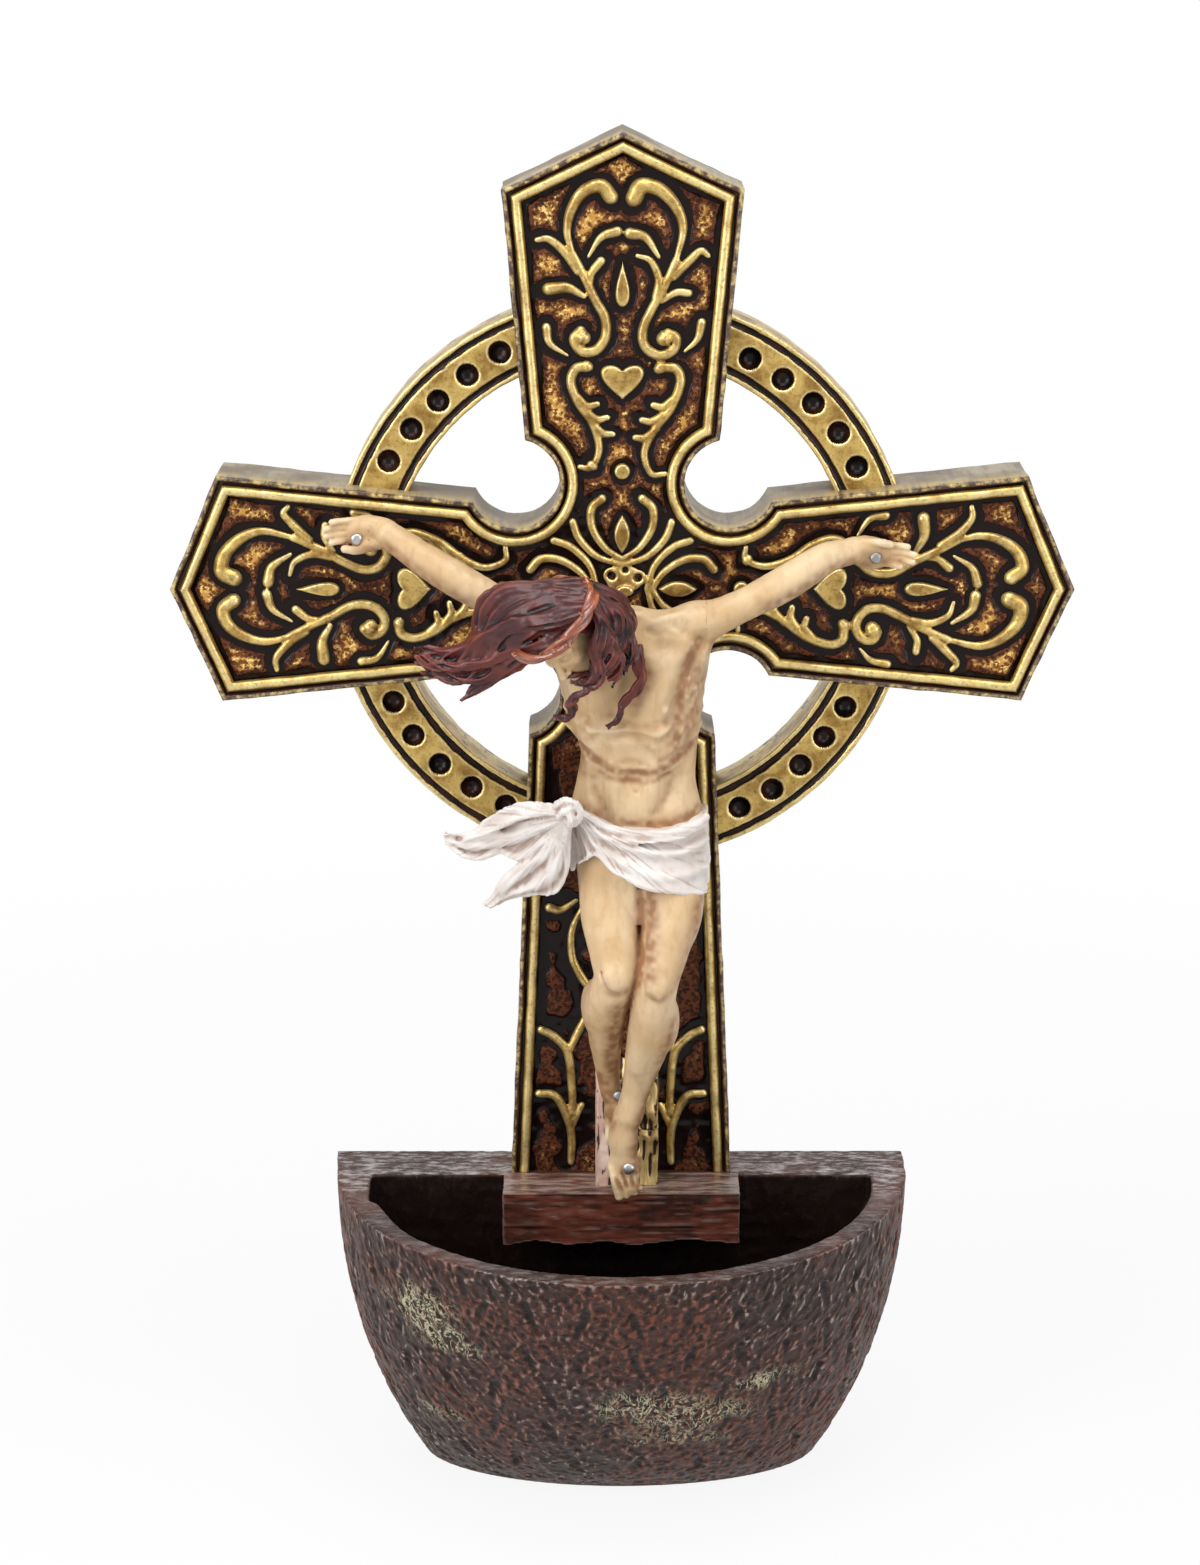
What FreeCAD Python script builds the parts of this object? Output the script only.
"""Wall-hung holy water stoup: a half-round basin under a ringed cross with a corpus.

Millimetres. +Z is up, +X is to the viewer's right, and the wall plane is y = 0 with the
object on its -Y side. The origin is on the wall plane, at the middle of the basin's base.
Each separate piece is one file in parts/, named after the piece.
"""

import FreeCAD, Part
import math
import os

# ---------------------------------------------------------------- driving sizes

# basin
BASIN_HEIGHT = 58.5          # base to rim, and to the ledge that carries the cross
RIM_HALF_WIDTH = 51.4        # outside of the rim
RIM_FRONT = 60.3             # rim's front, out from the wall
BASE_HALF_WIDTH = 36.5
BASE_FRONT = 18.0
SIDE_STRAIGHT = 6.0          # straight part of the rim's plan beside the wall
BELLY_POWER = 0.75           # how the front swells from base to rim
LEDGE_DEPTH = 12.0           # solid back of the basin
WALL_FRONT = 4.3
WALL_SIDE = 6.9
BOWL_FLOOR = 9.0             # lowest point of the water's space
CREASE_ROWS = 5              # main creases of the bark on the basin's outside
CREASE_SPACING = 10.0
CREASE_LENGTH = 15.0         # of the spindle that cuts one crease
CREASE_RADIUS = 1.1
CREASE_DEPTH = 0.55
CREASE_LEAN = 14.0           # degrees, to one side and the other in turn

# foot block, set in the ledge
BLOCK_HALF_WIDTH = 21.0
BLOCK_REACH = 12.5           # out from the ledge
BLOCK_HEIGHT = 8.5
TENON_HALF_WIDTH = 10.0
TENON_LENGTH = 5.0
TENON_HEIGHT = 5.0

# cross
SHAFT_LENGTH = 107.5         # foot to the middle of the crossing
CROSS_THICKNESS = 14.0
ARM_TIP = 77.0
ARM_SHOULDER = 68.6
ARM_SHOULDER_HALF = 19.7
ARM_NECK_HALF = 15.2
TOP_SHOULDER = 67.4          # the top arm is a little wider than the side arms
TOP_SHOULDER_HALF = 20.2
TOP_NECK_HALF = 16.5
SHAFT_NECK_HALF = 16.1
SHAFT_FOOT_HALF = 19.7
NOTCH_CENTRE = 18.2          # round bite in each corner of the crossing
NOTCH_RADIUS = 7.5
EDGE_LAND = 1.0              # thin lip around the front face
BEAD_INSET = 1.6
BEAD_WIDTH = 1.7
BEAD_PROUD = 0.4             # above the front face
BEAD_FILLET = 0.7
FIELD_DEPTH = 1.4            # sunk field that carries the ornament
ORNAMENT_RISE = 1.2

# ring
RING_OUTER = 49.8
RING_INNER = 39.5
RING_THICKNESS = 9.5
RING_GROOVE_WIDTH = 0.9
RING_GROOVE_DEPTH = 0.5
RING_EDGE_LAND = 1.0
DIMPLE_RADIUS = 2.1
DIMPLE_DEPTH = 0.9
DIMPLE_COUNT = 5
DIMPLE_MARGIN = 4.4          # from the arm to the first dimple's centre, along the ring
TONGUE_LENGTH = 3.0          # of the ring, halved into the arm from behind
TONGUE_THICKNESS = 5.0
TONGUE_SHOULDER = 2.0

# fasteners
FIT = 0.05                   # clearance around pins and in joints
DOWEL_RADIUS = 1.5
DOWEL_SPACING = 27.0
DOWEL_DEPTH = 8.0            # in each of the two pieces
NAIL_SHANK = 0.55
NAIL_HEAD = 1.25
NAIL_HEAD_HEIGHT = 0.7
NAIL_DEPTH = 4.0             # of a hand nail, in the cross
PIN_RADIUS = 1.2             # pin from the cross into the corpus's back
PIN_DEPTH = 5.0

# hanger
HANGER_CENTRE = 52.0         # above the crossing
HANGER_WIDTH = 15.0
HANGER_HEIGHT = 34.0
HANGER_THICKNESS = 1.5
KEYHOLE_RADIUS = 4.0
KEYHOLE_SLOT = 1.9           # half-width of the slot
KEYHOLE_SLOT_RISE = 7.0
KEYHOLE_POCKET_DEPTH = 4.5   # room behind the plate for a screw's head
SCREW_RADIUS = 1.0
SCREW_HEAD = 2.1
SCREW_SPACING = 26.0
SCREW_LENGTH = 6.0

# footrest, a broken wedge behind the feet
REST_HALF_WIDTH = 5.6
REST_HEIGHT = 23.5
REST_REACH = 7.8             # out from the field of the cross
REST_OFFSET = 1.0

# corpus
CORPUS_GAP = 0.5             # from the cross's face to the corpus's back
TOES_ABOVE_BLOCK = 3.1
CARVED_DROP = 104.4          # crossing to toes, in the sections that the corpus is drawn with

# ---------------------------------------------------------------- worked-out places

FACE_Y = -CROSS_THICKNESS
FIELD_Y = FACE_Y + FIELD_DEPTH
BEAD_Y = FACE_Y - BEAD_PROUD
BACK_OF_CORPUS = FACE_Y - CORPUS_GAP
CROSS_CENTRE = BASIN_HEIGHT + SHAFT_LENGTH
HANGER_Z = CROSS_CENTRE + HANGER_CENTRE
CORPUS_STRETCH = (SHAFT_LENGTH - TOES_ABOVE_BLOCK) / CARVED_DROP
FAR = 400.0
CLOSE_ENOUGH = 1e-6

TOWARDS_VIEWER = FreeCAD.Vector(0, -1, 0)
UP = FreeCAD.Vector(0, 0, 1)


def at(x, y, z):
    return FreeCAD.Vector(x, y, z)


def box(x0, x1, y0, y1, z0, z1):
    return Part.makeBox(x1 - x0, y1 - y0, z1 - z0, at(x0, y0, z0))


def closed_face(edges):
    return Part.Face(Part.Wire(edges))


def line(start, end):
    return Part.makeLine(start, end)


def spline(points, start_slope=None, end_slope=None):
    curve = Part.BSplineCurve()
    if start_slope is None:
        curve.interpolate(Points=points)
    else:
        curve.interpolate(Points=points, InitialTangent=start_slope, FinalTangent=end_slope)
    return curve.toShape()


def solids_of(shape):
    """One solid, or a compound of the separate solids, with no empty shells around them."""
    solids = [solid for solid in shape.Solids if solid.Volume > CLOSE_ENOUGH]
    return solids[0] if len(solids) == 1 else Part.makeCompound(solids)


def largest_solid(shape):
    return max(shape.Solids, key=lambda solid: solid.Volume)


# ---------------------------------------------------------------- basin

def share_of_height(z):
    return max(z, 0.0) / BASIN_HEIGHT


def half_width_at(z):
    """The basin's outer half-width: quick to widen above the base, upright below the rim."""
    lift = 1.0 - (1.0 - share_of_height(z)) ** 2.2
    return BASE_HALF_WIDTH + (RIM_HALF_WIDTH - BASE_HALF_WIDTH) * lift


def front_at(z):
    return BASE_FRONT + (RIM_FRONT - BASE_FRONT) * share_of_height(z) ** BELLY_POWER


def half_round(half_width, back, front, straight, z):
    """A D-shaped wire at height z: a back line, and a half ellipse after two straight sides."""
    spring = -back - straight
    steps = 12
    points = []
    for step in range(steps + 1):
        turn = math.pi * step / steps
        points.append(at(half_width * math.cos(turn), spring - (front + spring) * math.sin(turn), z))
    right = at(half_width, -back, z)
    left = at(-half_width, -back, z)
    curve = spline(points, at(0, -1, 0), at(0, 1, 0))
    return Part.Wire([line(right, points[0]), curve, line(points[-1], left), line(left, right)])


def egg_wire(half_width, front, straight, z):
    """A closed curve at height z: the basin's plan in front of the wall, and a tail behind it."""
    points = []
    for step in range(13):
        turn = math.pi * step / 12
        points.append(at(half_width * math.cos(turn), -straight - (front - straight) * math.sin(turn), z))
    for step in range(6):
        turn = math.pi * (step + 0.5) / 6
        points.append(at(-half_width * math.cos(turn), half_width * 0.4 * math.sin(turn) + 4.0, z))
    curve = Part.BSplineCurve()
    curve.interpolate(Points=points, PeriodicFlag=True)
    return Part.Wire(curve.toShape())


def basin_outside():
    wires = []
    for share in (0.0, 0.1, 0.24, 0.42, 0.62, 0.82, 1.0):
        z = share * BASIN_HEIGHT
        wires.append(egg_wire(half_width_at(z), front_at(z), SIDE_STRAIGHT * share, z))
    body = Part.makeLoft(wires, True, False)
    return body.cut(box(-FAR, FAR, 0, FAR, -FAR, FAR))


def on_outside(turn, z):
    """A place on the basin's outside, by its turn around the plan and its height."""
    straight = SIDE_STRAIGHT * share_of_height(z)
    return at(half_width_at(z) * math.cos(turn), -straight - (front_at(z) - straight) * math.sin(turn), z)


def crease_spindle():
    """A pointed spindle along Z, turned from one arc."""
    low, high = at(0, 0, -CREASE_LENGTH / 2), at(0, 0, CREASE_LENGTH / 2)
    arc = Part.Arc(low, at(CREASE_RADIUS, 0, 0), high).toShape()
    return closed_face([arc, line(high, low)]).revolve(at(0, 0, 0), UP, 360)


def bark_creases():
    """Spindles set just outside the basin's surface, in staggered rows."""
    small = 0.01
    spindle = crease_spindle()
    creases = []
    for row in range(CREASE_ROWS):
        z = BASIN_HEIGHT * (row + 1) / (CREASE_ROWS + 1)
        around = math.pi / 2 * (half_width_at(z) + front_at(z))
        count = round(around / CREASE_SPACING)
        for number in range(count):
            turn = math.pi * (number + 0.6 + 0.5 * (row % 2)) / (count + 0.7)
            middle = on_outside(turn, z)
            up = (on_outside(turn, z + small) - on_outside(turn, z - small)).normalize()
            sideways = (on_outside(turn + small, z) - on_outside(turn - small, z)).normalize()
            out = up.cross(sideways)
            lean = CREASE_LEAN * (-1) ** (number + row)
            along = FreeCAD.Rotation(out, lean).multVec(up)
            placed = spindle.copy()
            placed.Placement = FreeCAD.Placement(middle + out * (CREASE_RADIUS - CREASE_DEPTH),
                                                 FreeCAD.Rotation(UP, along))
            creases.append(placed)
    return creases


def bowl_space():
    """The water's space, from its floor to above the rim."""
    shares = [0.0, 0.14, 0.36, 0.66, 1.0]
    wires = []
    for share in shares:
        z = BOWL_FLOOR + share * (BASIN_HEIGHT - BOWL_FLOOR)
        side = WALL_SIDE + 9.0 * (1.0 - share) ** 2.5
        front = front_at(z) - WALL_FRONT - 2.0 * (1.0 - share)
        wires.append(half_round(half_width_at(z) - side, LEDGE_DEPTH, front, 1.5, z))
    space = Part.makeLoft(wires, True, False)
    lid = Part.Face(wires[-1]).extrude(at(0, 0, 5.0))
    return space.fuse(lid)


def dowel_places():
    return [at(side * DOWEL_SPACING / 2, -CROSS_THICKNESS * 0.45, BASIN_HEIGHT) for side in (-1, 1)]


def block_tenon(clearance):
    half = TENON_HALF_WIDTH + clearance
    low = BASIN_HEIGHT - BLOCK_HEIGHT / 2 - TENON_HEIGHT / 2 - clearance
    high = low + TENON_HEIGHT + 2 * clearance
    end = -LEDGE_DEPTH + TENON_LENGTH + clearance
    return box(-half, half, -LEDGE_DEPTH - 1.0, end, low, high)


def make_basin():
    basin = basin_outside().cut(bark_creases()).cut(bowl_space())
    basin = basin.cut(block_tenon(FIT))
    for place in dowel_places():
        hole = Part.makeCylinder(DOWEL_RADIUS + FIT, DOWEL_DEPTH + FIT, place, -UP)
        basin = basin.cut(hole)
    return solids_of(basin)


def make_foot_block():
    """The block under the cross's foot, with a lower front edge that looks split off."""
    top = BASIN_HEIGHT
    front = -LEDGE_DEPTH - BLOCK_REACH
    body = box(-BLOCK_HALF_WIDTH, BLOCK_HALF_WIDTH, front, -LEDGE_DEPTH, top - BLOCK_HEIGHT, top)
    tenon = block_tenon(0).common(box(-FAR, FAR, -LEDGE_DEPTH, 0, 0, FAR))
    split = [(-1.0, 0.0), (-0.72, 1.1), (-0.45, 0.2), (-0.12, 0.9), (0.1, 0.1), (0.55, 1.3), (1.0, 0.4)]
    low = top - BLOCK_HEIGHT
    edge = [at(x * BLOCK_HALF_WIDTH, front - 1, low + rise) for x, rise in split]
    corners = [at(-FAR, front - 1, low - 5)] + [at(-FAR, front - 1, edge[0].z)] + edge
    corners += [at(FAR, front - 1, edge[-1].z), at(FAR, front - 1, low - 5)]
    chips = Part.Face(Part.makePolygon(corners + corners[:1])).extrude(at(0, BLOCK_REACH * 0.7, 0))
    return solids_of(body.cut(chips).fuse(tenon).removeSplitter())


def make_cross_dowels():
    reach = DOWEL_DEPTH - FIT
    pins = [Part.makeCylinder(DOWEL_RADIUS, 2 * reach, place - UP * reach, UP) for place in dowel_places()]
    return Part.makeCompound(pins)


# ---------------------------------------------------------------- cross

def cross_point(across, up, y=0.0):
    return at(across, y, CROSS_CENTRE + up)


def notch_meets(half_width):
    """How far from the crossing the round notch meets an arm's side."""
    return NOTCH_CENTRE + math.sqrt(NOTCH_RADIUS ** 2 - (NOTCH_CENTRE - half_width) ** 2)


def arm_corners(neck_half, shoulder_half, shoulder):
    """An arm's corners as (across, out) from one notch to the other."""
    neck = notch_meets(neck_half)
    return [(neck_half, neck), (shoulder_half, shoulder), (0.0, ARM_TIP),
            (-shoulder_half, shoulder), (-neck_half, neck)]


def cross_face(extra_foot=0.0):
    """The cross's outline as a face on the wall plane, its foot lengthened by extra_foot."""
    near = NOTCH_CENTRE - NOTCH_RADIUS / math.sqrt(2)
    shaft_end = notch_meets(SHAFT_NECK_HALF)
    widening = (SHAFT_FOOT_HALF - SHAFT_NECK_HALF) / (SHAFT_LENGTH - shaft_end)
    foot_half = SHAFT_FOOT_HALF + widening * extra_foot
    foot = -SHAFT_LENGTH - extra_foot
    arm = arm_corners(ARM_NECK_HALF, ARM_SHOULDER_HALF, ARM_SHOULDER)
    top_arm = arm_corners(TOP_NECK_HALF, TOP_SHOULDER_HALF, TOP_SHOULDER)
    top = [cross_point(across, out) for across, out in top_arm]
    left = [cross_point(-out, across) for across, out in arm]
    right = [cross_point(out, -across) for across, out in arm]
    shaft = [cross_point(-SHAFT_NECK_HALF, -shaft_end), cross_point(-foot_half, foot),
             cross_point(foot_half, foot), cross_point(SHAFT_NECK_HALF, -shaft_end)]
    limbs = [top, left, shaft, right]
    corners = [cross_point(-near, near), cross_point(-near, -near),
               cross_point(near, -near), cross_point(near, near)]
    edges = []
    for number, limb in enumerate(limbs):
        edges += [line(a, b) for a, b in zip(limb, limb[1:])]
        following = limbs[(number + 1) % len(limbs)]
        edges.append(Part.Arc(limb[-1], corners[number], following[0]).toShape())
    return closed_face(edges)


def inset_face(inset, extra_foot=0.0):
    whole = cross_face(extra_foot)
    return whole if inset < CLOSE_ENOUGH else whole.makeOffset2D(-inset, join=2)


def slab(face, y_from, y_to):
    """The face moved to y_from and thickened to y_to."""
    moved = face.copy()
    moved.translate(at(0, y_from, 0))
    return moved.extrude(at(0, y_to - y_from, 0))


def above_foot_land():
    return box(-FAR, FAR, -FAR, FAR, BASIN_HEIGHT + EDGE_LAND, FAR)


def field_recess():
    past_foot = 20.0
    sunk = slab(inset_face(EDGE_LAND, past_foot), FIELD_Y, FACE_Y - 2.0)
    return sunk.common(above_foot_land())


def ring_between(inner, outer, y_from, y_to):
    centre = cross_point(0, 0, y_from)
    tube = Part.makeCylinder(outer, abs(y_to - y_from), centre, TOWARDS_VIEWER)
    return tube.cut(Part.makeCylinder(inner, abs(y_to - y_from), centre, TOWARDS_VIEWER))


def ring_tongues(clearance):
    """The ends of the ring that lie halved in the arms."""
    lap = ring_between(RING_INNER + TONGUE_SHOULDER - clearance, RING_OUTER - TONGUE_SHOULDER + clearance,
                       0, -TONGUE_THICKNESS - clearance)
    core = slab(inset_face(TONGUE_LENGTH + clearance), 1.0, -CROSS_THICKNESS)
    inside = slab(inset_face(0), 1.0, -CROSS_THICKNESS)
    return lap.common(inside).cut(core)


def keyhole(y_from, y_to, radius, slot):
    depth = abs(y_to - y_from)
    entry = Part.makeCylinder(radius, depth, at(0, y_from, HANGER_Z), TOWARDS_VIEWER)
    top = HANGER_Z + KEYHOLE_SLOT_RISE
    end = Part.makeCylinder(slot, depth, at(0, y_from, top), TOWARDS_VIEWER)
    return entry.fuse(box(-slot, slot, y_to, y_from, HANGER_Z, top)).fuse(end)


def hanger_blank(clearance):
    half = HANGER_WIDTH / 2 + clearance
    low = HANGER_Z - HANGER_HEIGHT / 2 - clearance
    high = HANGER_Z + HANGER_HEIGHT / 2 + clearance
    plate = box(-half, half, -HANGER_THICKNESS, 0, low, high)
    upright = [edge for edge in plate.Edges if abs(edge.tangentAt(0).y) > 0.9]
    return plate.makeFillet(2.0, upright)


def screw_places():
    return [at(0, 0, HANGER_Z + side * SCREW_SPACING / 2) for side in (-1, 1)]


def screw_shape(place, clearance):
    """A countersunk screw, its flat head flush with the wall plane."""
    head = Part.makeCone(SCREW_HEAD + clearance, SCREW_RADIUS + clearance, HANGER_THICKNESS,
                         place, TOWARDS_VIEWER)
    shank = Part.makeCylinder(SCREW_RADIUS + clearance, SCREW_LENGTH + clearance, place, TOWARDS_VIEWER)
    return head.fuse(shank).removeSplitter()


def nail_hole(place, depth_y):
    length = place.y * -1 + depth_y
    return Part.makeCylinder(NAIL_SHANK, length, at(place.x, depth_y, place.z), TOWARDS_VIEWER)


def make_cross():
    cross = slab(inset_face(0), 0, FACE_Y)
    cross = cross.cut(field_recess())
    cross = cross.cut(ring_tongues(FIT))
    cross = cross.cut(hanger_blank(FIT))
    pocket_front = -HANGER_THICKNESS - KEYHOLE_POCKET_DEPTH
    cross = cross.cut(keyhole(0, pocket_front, KEYHOLE_RADIUS + 0.5, KEYHOLE_RADIUS + 0.5))
    for place in screw_places():
        cross = cross.cut(screw_shape(place, 0))
    for place in dowel_places():
        cross = cross.cut(Part.makeCylinder(DOWEL_RADIUS + FIT, DOWEL_DEPTH + FIT, place, UP))
    cross = cross.cut(hand_nail_shanks()).cut(foot_nail_shanks()).cut(corpus_pin_shape())
    return solids_of(cross)


def make_cross_bead():
    past_foot = 20.0
    outer = slab(inset_face(BEAD_INSET, past_foot), FIELD_Y, BEAD_Y)
    inner = slab(inset_face(BEAD_INSET + BEAD_WIDTH, past_foot), FIELD_Y, BEAD_Y)
    bead = outer.cut(inner)
    top_edges = [edge for edge in bead.Edges
                 if all(abs(vertex.Y - BEAD_Y) < CLOSE_ENOUGH for vertex in edge.Vertexes)]
    bead = bead.makeFillet(BEAD_FILLET, top_edges)
    return solids_of(bead.common(above_foot_land()))


def make_hanger_plate():
    plate = hanger_blank(0).cut(keyhole(0, -HANGER_THICKNESS, KEYHOLE_RADIUS, KEYHOLE_SLOT))
    for place in screw_places():
        plate = plate.cut(screw_shape(place, 0))
    return solids_of(plate)


def make_hanger_screws():
    return Part.makeCompound([screw_shape(place, 0) for place in screw_places()])


# ---------------------------------------------------------------- ring

def ring_quadrant(side, height):
    """One quarter of the ring: side is -1 for the left and 1 for the right, height likewise."""
    front = -RING_THICKNESS
    ring = ring_between(RING_INNER, RING_OUTER, 0, front)
    for edge in (RING_INNER + RING_EDGE_LAND, RING_OUTER - RING_EDGE_LAND - RING_GROOVE_WIDTH):
        ring = ring.cut(ring_between(edge, edge + RING_GROOVE_WIDTH, front + RING_GROOVE_DEPTH, front - 1))
    ring = ring.cut(slab(inset_face(0), 1.0, FACE_Y - 1.0))
    quarter = ring.common(box(min(side * FAR, 0), max(side * FAR, 0), -FAR, FAR,
                              CROSS_CENTRE + min(height * FAR, 0), CROSS_CENTRE + max(height * FAR, 0)))
    quarter = largest_solid(quarter)
    for angle in dimple_angles(height):
        quarter = quarter.cut(dimple(angle, side, height))
    tongues = ring_tongues(0)
    near = [tongue for tongue in tongues.Solids
            if tongue.CenterOfMass.x * side > 0 and (tongue.CenterOfMass.z - CROSS_CENTRE) * height > 0]
    return solids_of(quarter.multiFuse(near).removeSplitter())


def dimple_angles(height):
    """Angles above (or below) the level arm at which the quadrant's dimples lie."""
    middle = (RING_INNER + RING_OUTER) / 2
    upright_half = TOP_NECK_HALF if height > 0 else SHAFT_NECK_HALF
    slope = (ARM_SHOULDER_HALF - ARM_NECK_HALF) / (ARM_SHOULDER - notch_meets(ARM_NECK_HALF))
    beside = slope * (middle - notch_meets(ARM_NECK_HALF))
    first = math.asin((ARM_NECK_HALF + beside) / middle) + DIMPLE_MARGIN / middle
    last = math.pi / 2 - math.asin((upright_half + beside) / middle) - DIMPLE_MARGIN / middle
    step = (last - first) / (DIMPLE_COUNT - 1)
    return [first + step * number for number in range(DIMPLE_COUNT)]


def dimple(angle, side, height):
    middle = (RING_INNER + RING_OUTER) / 2
    ball = (DIMPLE_RADIUS ** 2 + DIMPLE_DEPTH ** 2) / (2 * DIMPLE_DEPTH)
    depth_y = -RING_THICKNESS + DIMPLE_DEPTH - ball
    return Part.makeSphere(ball, cross_point(side * middle * math.cos(angle),
                                             height * middle * math.sin(angle), depth_y))


# ---------------------------------------------------------------- ornament on the arms

# Each stroke is (half-width at its start, half-width at its end, points). A point is
# (across, out): mm to the side of the arm's middle line and mm out from the crossing. On the
# shaft the second number is mm up from the shaft's foot.
ARM_STROKES = [
    (1.3, 0.5, [(-2.0, 66.2), (-3.6, 68.0), (-6.4, 67.1), (-8.5, 64.1), (-9.2, 60.5), (-8.3, 56.8)]),
    (0.7, 0.9, [(-8.3, 56.8), (-6.4, 53.1), (-4.6, 49.3), (-2.9, 46.1), (-2.9, 42.8), (-4.6, 40.7),
                (-6.9, 40.7), (-8.1, 42.6), (-7.0, 44.0)]),
    (1.5, 0.5, [(1.9, 66.0), (3.1, 68.0), (6.1, 67.4), (8.8, 64.6), (10.0, 60.9), (8.9, 55.8)]),
    (0.7, 0.9, [(8.9, 55.8), (7.1, 51.7), (4.8, 47.5), (3.4, 44.2), (3.8, 41.4), (6.2, 39.9),
                (8.5, 40.9), (8.9, 42.8), (7.6, 43.6)]),
    (0.5, 0.8, [(-14.2, 59.1), (-12.2, 59.2), (-9.7, 57.2), (-7.4, 54.0)]),
    (0.5, 0.8, [(14.2, 56.5), (13.0, 57.3), (11.2, 55.8), (8.5, 53.1)]),
    (1.1, 0.5, [(-12.3, 51.0), (-9.2, 51.2), (-6.4, 49.8)]),
    (0.7, 0.5, [(11.0, 50.3), (8.9, 50.4), (6.6, 49.0)]),
    (0.9, 0.3, [(-0.9, 60.5), (-3.6, 59.5), (-5.7, 56.3)]),
    (1.0, 0.4, [(1.2, 60.2), (3.8, 59.5), (6.0, 56.3)]),
    (0.8, 0.4, [(-3.6, 55.6), (-5.2, 53.5), (-5.3, 51.0)]),
    (0.4, 0.8, [(2.4, 56.5), (4.7, 55.6), (6.0, 52.6), (5.6, 49.4)]),
    (0.8, 0.3, [(-12.7, 44.6), (-12.1, 41.9), (-9.2, 39.9)]),
    (0.8, 0.3, [(13.2, 45.4), (12.5, 42.6), (10.4, 40.6)]),
    (0.9, 0.5, [(-6.1, 38.1), (-7.9, 37.6), (-8.6, 35.3), (-7.4, 32.0), (-5.1, 28.6), (-3.9, 24.3),
                (-5.1, 21.0), (-7.2, 21.0)]),
    (0.9, 0.5, [(6.9, 37.9), (9.0, 37.6), (9.7, 35.3), (8.1, 31.0), (5.3, 27.2), (3.7, 23.4),
                (4.9, 19.9), (7.3, 19.8)]),
    (0.3, 0.6, [(-2.6, 33.0), (-4.4, 31.2), (-6.4, 31.6)]),
    (0.3, 0.6, [(-1.9, 29.8), (-3.2, 28.0), (-5.0, 28.2)]),
    (0.3, 0.6, [(3.0, 32.2), (4.8, 30.2), (6.6, 30.0)]),
    (0.3, 0.6, [(2.1, 29.0), (3.4, 26.9), (5.0, 26.6)]),
]
FAN_STROKES = [
    (0.8, 0.5, [(-3.4, 15.6), (-5.2, 13.8), (-5.0, 10.4), (-2.8, 7.0), (0.0, 5.2)]),
    (0.8, 0.5, [(3.4, 15.6), (5.2, 13.8), (5.0, 10.4), (2.8, 7.0), (0.0, 5.2)]),
    (0.7, 0.5, [(-8.4, 11.6), (-7.2, 8.6), (-4.2, 5.6), (0.0, 4.2)]),
    (0.7, 0.5, [(8.4, 11.6), (7.2, 8.6), (4.2, 5.6), (0.0, 4.2)]),
]
SHAFT_STROKES = [
    (0.9, 0.4, [(-12.6, 50.5), (-10.6, 50.1), (-7.8, 51.9)]),
    (0.5, 0.8, [(-6.6, 50.9), (-8.6, 46.5), (-8.6, 41.5), (-6.6, 37.1), (-4.0, 33.9)]),
    (0.8, 0.7, [(-14.2, 27.9), (-11.7, 26.5), (-9.4, 23.4), (-8.7, 16.5), (-8.6, 12.1)]),
    (0.7, 0.7, [(-6.4, 29.9), (-7.8, 27.1), (-9.2, 23.9)]),
    (0.8, 0.7, [(-14.6, 15.9), (-11.6, 15.3), (-9.4, 10.9), (-8.8, 7.3), (-8.9, 2.9)]),
    (0.6, 0.6, [(-7.0, 13.7), (-8.0, 11.5), (-9.0, 8.9)]),
]
DROP_TIP, DROP_TAIL, DROP_HALF = 55.1, 49.3, 1.35
HEART_TOP, HEART_TIP, HEART_HALF = 37.6, 32.6, 3.4
BALL_OUT, BALL_RADIUS = 20.3, 1.3
ALMOND_OUTER, ALMOND_INNER, ALMOND_HALF = 12.6, 6.4, 1.3
BOSS_UP, BOSS_RADIUS = 1.8, 3.2
BOSS_DIMPLE = 0.8


def stroke_face(start_half, end_half, points):
    """A flat tapering ribbon along a smooth curve, with rounded ends."""
    path = Part.BSplineCurve()
    path.interpolate(Points=[at(across, 0, out) for across, out in points])
    first, last = path.FirstParameter, path.LastParameter
    steps = 3 * (len(points) - 1)
    left, right = [], []
    for step in range(steps + 1):
        share = step / steps
        where = first + (last - first) * share
        centre = path.value(where)
        along = FreeCAD.Vector(*path.tangent(where)[0])
        aside = at(along.z, 0, -along.x) * (start_half + (end_half - start_half) * share)
        left.append(centre + aside)
        right.append(centre - aside)
    start_tip = path.value(first) - FreeCAD.Vector(*path.tangent(first)[0]) * start_half
    end_tip = path.value(last) + FreeCAD.Vector(*path.tangent(last)[0]) * end_half
    edges = [spline(left), Part.Arc(left[-1], end_tip, right[-1]).toShape(),
             spline(right[::-1]), Part.Arc(right[0], start_tip, left[0]).toShape()]
    return closed_face(edges)


def disc(across, out, radius):
    return Part.Face(Part.Wire(Part.makeCircle(radius, at(across, 0, out), TOWARDS_VIEWER)))


def drop_face():
    round_out = DROP_TAIL + DROP_HALF
    sides = [Part.Arc(at(side * DROP_HALF, 0, round_out), at(side * DROP_HALF * 0.45, 0, DROP_TAIL + 3.6),
                      at(0, 0, DROP_TIP)).toShape() for side in (1, -1)]
    bottom = Part.Arc(at(-DROP_HALF, 0, round_out), at(0, 0, DROP_TAIL), at(DROP_HALF, 0, round_out))
    return closed_face([sides[0], sides[1], bottom.toShape()])


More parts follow.
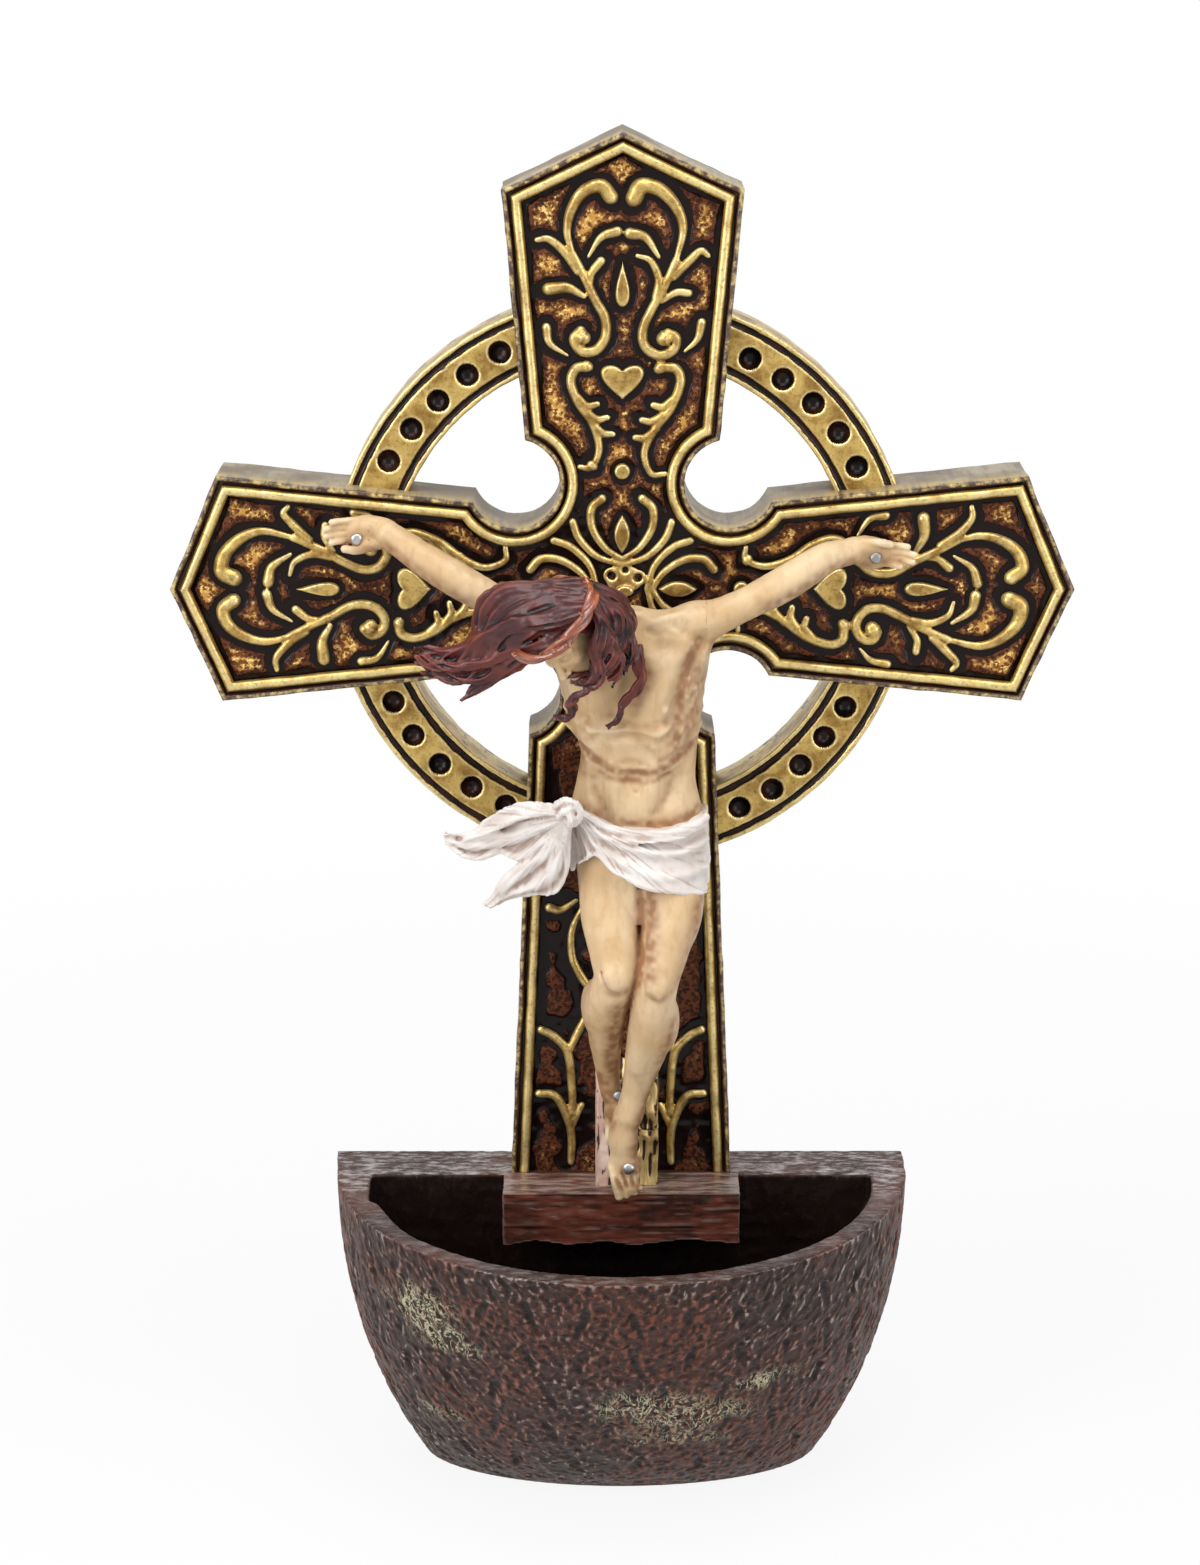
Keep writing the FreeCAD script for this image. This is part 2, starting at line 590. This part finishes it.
def heart_face():
    lobe = HEART_HALF / 2
    brow = HEART_TOP - lobe
    edges = []
    for side in (1, -1):
        edges.append(Part.Arc(at(0, 0, brow), at(side * lobe, 0, HEART_TOP),
                              at(side * HEART_HALF, 0, brow)).toShape())
        cheek = at(side * HEART_HALF * 0.66, 0, HEART_TIP + 1.7)
        edges.append(Part.Arc(at(side * HEART_HALF, 0, brow), cheek, at(0, 0, HEART_TIP)).toShape())
    return closed_face([edges[0], edges[1], edges[3], edges[2]])


def almond_face():
    middle = (ALMOND_OUTER + ALMOND_INNER) / 2
    ends = [at(0, 0, ALMOND_INNER), at(0, 0, ALMOND_OUTER)]
    sides = [Part.Arc(ends[0], at(side * ALMOND_HALF, 0, middle), ends[1]).toShape() for side in (1, -1)]
    return closed_face(sides)


def inside_bead():
    past_foot = 20.0
    room = slab(inset_face(BEAD_INSET + BEAD_WIDTH, past_foot), FIELD_Y + 1.0, FACE_Y - 1.0)
    return room.common(above_foot_land())


def relief(faces, turn, keep_clear=None):
    """The faces raised from the field, joined where they meet and turned to their arm."""
    raised = [face.extrude(at(0, -ORNAMENT_RISE, 0)) for face in faces]
    joined = raised[0].multiFuse(raised[1:]).removeSplitter()
    joined.rotate(at(0, 0, 0), at(0, 1, 0), turn)
    joined.translate(at(0, FIELD_Y, CROSS_CENTRE))
    joined = joined.common(inside_bead())
    if keep_clear is not None:
        joined = joined.cut(keep_clear)
    return solids_of(joined)


def make_arm_ornament(turn):
    faces = [stroke_face(*stroke) for stroke in ARM_STROKES]
    faces += [drop_face(), heart_face(), disc(0, BALL_OUT, BALL_RADIUS)]
    keep_clear = hand_nail_shanks()
    return relief(faces, turn, keep_clear)


def make_centre_ornament():
    fan = [stroke_face(*stroke) for stroke in FAN_STROKES] + [almond_face()]
    pieces = [relief(fan, turn) for turn in (0, 90, -90)]
    boss = slab(disc(0, BOSS_UP, BOSS_RADIUS), 0, -ORNAMENT_RISE)
    boss.translate(at(0, FIELD_Y, CROSS_CENTRE))
    for angle in (150, 30, 270):
        turn = math.radians(angle)
        reach = BOSS_RADIUS * 0.52
        pit = Part.makeSphere(BOSS_DIMPLE, at(reach * math.cos(turn), FIELD_Y - ORNAMENT_RISE,
                                              CROSS_CENTRE + BOSS_UP + reach * math.sin(turn)))
        boss = boss.cut(pit)
    joined = boss.multiFuse([solid for piece in pieces for solid in piece.Solids])
    return solids_of(joined)


def make_shaft_ornament():
    faces = []
    for side in (1, -1):
        for start, end, points in SHAFT_STROKES:
            placed = [(side * across, up - SHAFT_LENGTH) for across, up in points]
            faces.append(stroke_face(start, end, placed))
    return relief(faces, 0, make_footrest())


# ---------------------------------------------------------------- corpus

def oval(centre, direction, wide, deep):
    """An oval wire square to direction: wide across the figure, deep towards the viewer."""
    direction = FreeCAD.Vector(direction).normalize()
    towards = TOWARDS_VIEWER - direction * TOWARDS_VIEWER.dot(direction)
    towards.normalize()
    across = direction.cross(towards)
    points = []
    for step in range(8):
        turn = 2 * math.pi * step / 8
        points.append(centre + across * (wide * math.cos(turn)) + towards * (deep * math.sin(turn)))
    curve = Part.BSplineCurve()
    curve.interpolate(Points=points, PeriodicFlag=True)
    return Part.Wire(curve.toShape())


def corpus_point(across, out, up):
    return at(across, FACE_Y - out, CROSS_CENTRE + up * CORPUS_STRETCH)


def limb(sections):
    """A smooth solid through ovals, each given as (across, out, up, half-width, half-depth)."""
    centres = [corpus_point(across, out, up) for across, out, up, wide, deep in sections]
    wires = []
    for number, (across, out, up, wide, deep) in enumerate(sections):
        before = centres[max(number - 1, 0)]
        after = centres[min(number + 1, len(centres) - 1)]
        wires.append(oval(centres[number], after - before, wide * CORPUS_STRETCH, deep * CORPUS_STRETCH))
    body = Part.makeLoft(wires, True, False)
    behind = box(-FAR, FAR, BACK_OF_CORPUS, FAR, -FAR, FAR)
    return body.cut(behind)


# Each piece is a list of ovals from its top to its end: (across, out, up, half-width,
# half-depth), where out is from the cross's face and up is from the crossing.
TORSO = [(3.0, 10.0, 1.4, 3.0, 2.8), (2.6, 9.6, -1.8, 8.4, 4.4), (2.4, 9.4, -5.4, 12.0, 6.6),
         (2.4, 9.0, -12.0, 11.0, 8.0), (2.6, 8.6, -19.0, 10.4, 8.0), (2.8, 8.2, -26.5, 9.3, 7.2),
         (3.0, 8.4, -33.0, 10.2, 7.4), (3.2, 9.2, -40.0, 11.2, 8.0), (3.2, 10.0, -46.0, 10.4, 7.6)]
LEFT_ARM = [(-6.0, 10.0, -3.8, 3.6, 3.6), (-11.0, 10.0, -3.4, 3.9, 4.2), (-18.0, 9.4, -1.4, 3.0, 3.2),
            (-25.0, 8.2, 2.0, 2.9, 3.0), (-31.0, 7.0, 5.4, 3.0, 3.0), (-37.0, 5.0, 9.0, 2.5, 2.4),
            (-41.0, 3.6, 10.4, 2.9, 1.9), (-45.0, 2.9, 10.2, 3.0, 1.6), (-50.4, 2.4, 10.0, 1.9, 1.1)]
RIGHT_ARM = [(8.0, 10.0, -5.4, 3.6, 3.6), (12.6, 10.0, -3.8, 3.9, 4.2), (18.0, 9.4, -1.6, 3.1, 3.2),
             (24.0, 8.4, 1.2, 2.9, 3.0), (30.0, 7.2, 4.6, 3.0, 3.0), (36.0, 5.0, 6.8, 2.5, 2.4),
             (39.6, 3.6, 7.4, 2.7, 1.9), (43.4, 2.9, 7.0, 2.7, 1.6), (49.0, 2.4, 6.4, 1.8, 1.1)]
LEFT_LEG = [(-1.6, 10.0, -42.0, 5.2, 6.0), (-2.0, 12.4, -48.0, 5.2, 5.6), (-1.4, 15.0, -54.0, 4.7, 5.2),
            (-1.0, 18.0, -61.4, 4.0, 4.6), (-2.4, 16.6, -67.0, 3.7, 4.6), (-2.9, 13.6, -72.0, 3.6, 4.4),
            (-2.6, 10.6, -79.0, 2.7, 3.2), (-2.3, 8.8, -85.0, 2.1, 2.4), (-1.6, 8.8, -89.4, 2.2, 2.0),
            (-0.8, 9.2, -94.0, 1.9, 1.6)]
RIGHT_LEG = [(7.8, 10.4, -42.0, 5.2, 6.0), (8.4, 13.0, -48.0, 5.2, 5.6), (7.8, 16.2, -55.0, 4.6, 5.2),
             (6.5, 19.6, -63.0, 4.0, 4.6), (5.9, 18.8, -68.0, 3.9, 4.6), (4.8, 16.4, -75.0, 3.9, 4.2),
             (2.9, 14.0, -82.0, 3.2, 3.4), (1.4, 12.6, -88.0, 2.4, 2.6), (0.2, 12.4, -93.0, 2.6, 2.6),
             (0.2, 12.4, -99.0, 2.9, 2.0), (1.2, 12.8, -104.4, 2.0, 1.3)]
HIP_CLOTH = [(3.2, 9.4, -35.0, 11.6, 9.0), (3.2, 10.2, -40.0, 12.6, 10.0), (3.4, 11.4, -45.4, 12.6, 10.4),
             (3.6, 12.0, -49.6, 11.8, 10.2)]
KNOT = [(-8.6, 17.8, -33.0, 1.6, 1.6), (-9.2, 17.6, -35.2, 2.4, 2.2), (-9.6, 17.2, -38.6, 1.8, 1.8)]
UPPER_TAIL = [(-10.6, 16.4, -36.6, 1.6, 1.2), (-17.0, 13.4, -37.4, 4.2, 1.4), (-23.0, 11.0, -39.6, 4.6, 1.3),
              (-29.6, 10.0, -40.2, 1.2, 0.8)]
LOWER_TAIL = [(-10.4, 16.2, -39.0, 1.4, 1.2), (-12.6, 13.2, -44.6, 3.4, 1.5), (-17.0, 11.2, -48.8, 4.2, 1.4),
              (-23.0, 10.0, -52.2, 1.3, 0.9)]

HEAD_CENTRE = corpus_point(-9.6, 20.0, -4.6)
HEAD_UP = at(-0.62, -0.42, 0.66)
HEAD_FACING = at(-0.30, -0.62, -0.72)
HEAD_TALL, HEAD_WIDE, HEAD_DEEP = 7.0, 4.7, 5.7
NECK = [(2.4, 11.0, -3.0, 2.9, 2.9), (-1.6, 14.4, -3.4, 2.8, 2.8), (-6.6, 17.6, -4.0, 2.8, 2.8)]
HAIR_THICKNESS = 1.5
TAIL_LOCK = [(-12.0, 19.4, -0.4, 5.6, 4.6), (-20.0, 17.2, -2.2, 5.2, 4.0), (-27.0, 16.0, -6.2, 3.8, 3.0),
             (-35.4, 15.6, -7.0, 1.0, 1.0)]
LOW_LOCK = [(-18.0, 17.6, -4.6, 3.6, 3.0), (-23.0, 17.0, -9.4, 2.4, 2.0), (-27.0, 16.6, -14.6, 0.9, 0.9)]
RIGHT_LOCK = [(-6.0, 18.0, 3.4, 4.6, 4.0), (-0.8, 17.6, 0.0, 4.4, 3.8), (1.8, 18.2, -5.6, 2.6, 2.8),
              (1.0, 19.4, -11.8, 1.4, 1.4), (-3.0, 20.4, -19.4, 0.8, 0.8)]
BEARD = [(-5.6, 24.4, -9.6, 2.2, 1.8), (-4.8, 23.4, -12.4, 2.2, 2.0), (-5.6, 22.4, -15.4, 1.0, 1.0)]
CROWN_RADIUS = 6.5
CROWN_THICKNESS = 0.75
CROWN_RISE = 1.4             # above the head's middle, along the head's axis
THORN_COUNT = 9
THORN_LENGTH = 2.2

HAND_NAIL_PLACES = [corpus_point(-44.6, 4.2, 9.8), corpus_point(42.6, 4.2, 6.6)]
FOOT_NAIL_PLACES = [corpus_point(-1.0, 10.4, -89.0), corpus_point(1.3, 14.2, -100.4)]
CORPUS_PIN_PLACE = corpus_point(3.0, 6.0, -16.0)


def hand_nail_shanks():
    return Part.makeCompound([nail_hole(place, FIELD_Y + NAIL_DEPTH) for place in HAND_NAIL_PLACES])


def foot_nail_shanks():
    return Part.makeCompound([nail_hole(place, FIELD_Y + NAIL_DEPTH) for place in FOOT_NAIL_PLACES])


def corpus_pin_shape():
    length = -CORPUS_PIN_PLACE.y + FIELD_Y + PIN_DEPTH
    start = at(CORPUS_PIN_PLACE.x, FIELD_Y + PIN_DEPTH, CORPUS_PIN_PLACE.z)
    return Part.makeCylinder(PIN_RADIUS, length, start, TOWARDS_VIEWER)


def nails(places):
    pieces = []
    for place in places:
        shank = nail_hole(place, FIELD_Y + NAIL_DEPTH)
        head = Part.makeCylinder(NAIL_HEAD, NAIL_HEAD_HEIGHT, place, TOWARDS_VIEWER)
        pieces.append(shank.fuse(head).removeSplitter())
    return Part.makeCompound(pieces)


def head_frame():
    """Unit vectors of the head: to its side, where it faces, and up through its crown."""
    up = FreeCAD.Vector(HEAD_UP).normalize()
    facing = HEAD_FACING - up * HEAD_FACING.dot(up)
    facing.normalize()
    return facing.cross(up), facing, up


def head_shell(extra):
    """The head's egg, grown by extra on every side."""
    side, facing, up = head_frame()
    tall, wide, deep = HEAD_TALL + extra, HEAD_WIDE + extra, HEAD_DEEP + extra
    wires = []
    for share in (-0.98, -0.8, -0.45, 0.0, 0.45, 0.8, 0.98):
        scale = math.sqrt(1 - share ** 2)
        points = []
        for step in range(12):
            turn = 2 * math.pi * step / 12
            points.append(HEAD_CENTRE + up * (tall * share) + side * (wide * scale * math.cos(turn))
                          + facing * (deep * scale * math.sin(turn)))
        curve = Part.BSplineCurve()
        curve.interpolate(Points=points, PeriodicFlag=True)
        wires.append(Part.Wire(curve.toShape()))
    return Part.makeLoft(wires, True, False)


def make_head():
    return head_shell(0).fuse(limb(NECK))


def face_window():
    """The space in front of the face that the hair leaves open."""
    side, facing, up = head_frame()
    centre = HEAD_CENTRE + facing * (HEAD_DEEP + HAIR_THICKNESS) - up * (HEAD_TALL * 0.5)
    return Part.makeSphere(HEAD_WIDE * 1.15, centre)


def make_hair():
    cap = head_shell(HAIR_THICKNESS).cut(face_window())
    locks = [limb(TAIL_LOCK), limb(LOW_LOCK), limb(RIGHT_LOCK)]
    return cap.multiFuse(locks)


def make_crown():
    side, facing, up = head_frame()
    centre = HEAD_CENTRE + up * CROWN_RISE
    ring = Part.makeTorus(CROWN_RADIUS, CROWN_THICKNESS, centre, up)
    thorns = []
    for number in range(THORN_COUNT):
        turn = 2 * math.pi * number / THORN_COUNT
        out = side * math.cos(turn) + facing * math.sin(turn)
        lean = out + up * (0.5 if number % 2 else -0.4)
        lean.normalize()
        root = centre + out * CROWN_RADIUS
        thorns.append(Part.makeCone(0.45, 0.12, THORN_LENGTH, root, lean))
    return ring.multiFuse(thorns)


def make_footrest():
    """A wedge with a split front, standing on the block against the cross's field."""
    low = BASIN_HEIGHT
    high = low + REST_HEIGHT
    left, right = REST_OFFSET - REST_HALF_WIDTH, REST_OFFSET + REST_HALF_WIDTH
    front = FIELD_Y - REST_REACH
    side = [at(left, FIELD_Y, low), at(left, front, low), at(left, front + 0.8, low + REST_HEIGHT * 0.55),
            at(left, FIELD_Y - 2.0, high), at(left, FIELD_Y, high - 1.5)]
    wedge = Part.Face(Part.makePolygon(side + side[:1])).extrude(at(right - left, 0, 0))
    chip = box(right - 3.4, right + 1, front - 1, front + 1.6, low + REST_HEIGHT * 0.5, high + 1)
    foot_land = box(-FAR, FAR, FACE_Y, 0, low - 1, low + EDGE_LAND)
    return solids_of(wedge.cut(chip).cut(foot_land))


def trimmed(shape, *others):
    """The shape without what the other pieces take up, as its largest solid."""
    for other in others:
        shape = shape.cut(other)
    return largest_solid(shape)


def make_corpus():
    """The figure's pieces, each cut to what it is seated on."""
    pieces = {}
    rest = make_footrest()
    pin = corpus_pin_shape()
    hand_shanks = nails(HAND_NAIL_PLACES)
    foot_shanks = nails(FOOT_NAIL_PLACES)
    torso = trimmed(limb(TORSO), pin)
    right_leg = trimmed(limb(RIGHT_LEG), torso, rest, foot_shanks)
    left_leg = trimmed(limb(LEFT_LEG), torso, right_leg, rest, foot_shanks)
    left_arm = trimmed(limb(LEFT_ARM), torso, hand_shanks)
    right_arm = trimmed(limb(RIGHT_ARM), torso, hand_shanks)
    cloth = trimmed(limb(HIP_CLOTH), torso, left_leg, right_leg)
    knot = limb(KNOT).multiFuse([limb(UPPER_TAIL), limb(LOWER_TAIL)])
    knot = trimmed(knot, cloth, torso, left_leg)
    head = trimmed(make_head(), torso, right_arm)
    crown = trimmed(make_crown(), head, left_arm, torso)
    beard = trimmed(limb(BEARD), head, torso)
    hair = trimmed(make_hair(), head, torso, left_arm, right_arm, crown, beard)
    pieces["torso"] = torso
    pieces["left_leg"] = left_leg
    pieces["right_leg"] = right_leg
    pieces["left_arm"] = left_arm
    pieces["right_arm"] = right_arm
    pieces["loincloth"] = cloth
    pieces["loincloth_knot"] = knot
    pieces["head"] = head
    pieces["beard"] = beard
    pieces["hair"] = hair
    pieces["crown_of_thorns"] = crown
    return pieces


def main():
    feet = nail_hole(FOOT_NAIL_PLACES[0], 0).fuse(nail_hole(FOOT_NAIL_PLACES[1], 0))
    pieces = {
        "basin": make_basin(),
        "foot_block": make_foot_block(),
        "cross": make_cross(),
        "cross_dowels": make_cross_dowels(),
        "cross_bead": make_cross_bead(),
        "ring_upper_left": ring_quadrant(-1, 1),
        "ring_upper_right": ring_quadrant(1, 1),
        "ring_lower_left": ring_quadrant(-1, -1),
        "ring_lower_right": ring_quadrant(1, -1),
        "hanger_plate": make_hanger_plate(),
        "hanger_screws": make_hanger_screws(),
        "ornament_top": make_arm_ornament(0),
        "ornament_left": make_arm_ornament(-90),
        "ornament_right": make_arm_ornament(90),
        "ornament_centre": make_centre_ornament(),
        "ornament_shaft": make_shaft_ornament(),
        "footrest": trimmed(make_footrest(), feet),
        "hand_nails": nails(HAND_NAIL_PLACES),
        "foot_nails": nails(FOOT_NAIL_PLACES),
        "corpus_pin": corpus_pin_shape(),
    }
    pieces.update(make_corpus())
    os.makedirs("parts", exist_ok=True)
    for name, shape in pieces.items():
        shape.exportStep(os.path.join("parts", name + ".step"))
        print("%-18s solids %2d  valid %s  volume %9.1f mm3"
              % (name, len(shape.Solids), shape.isValid(), shape.Volume))


main()
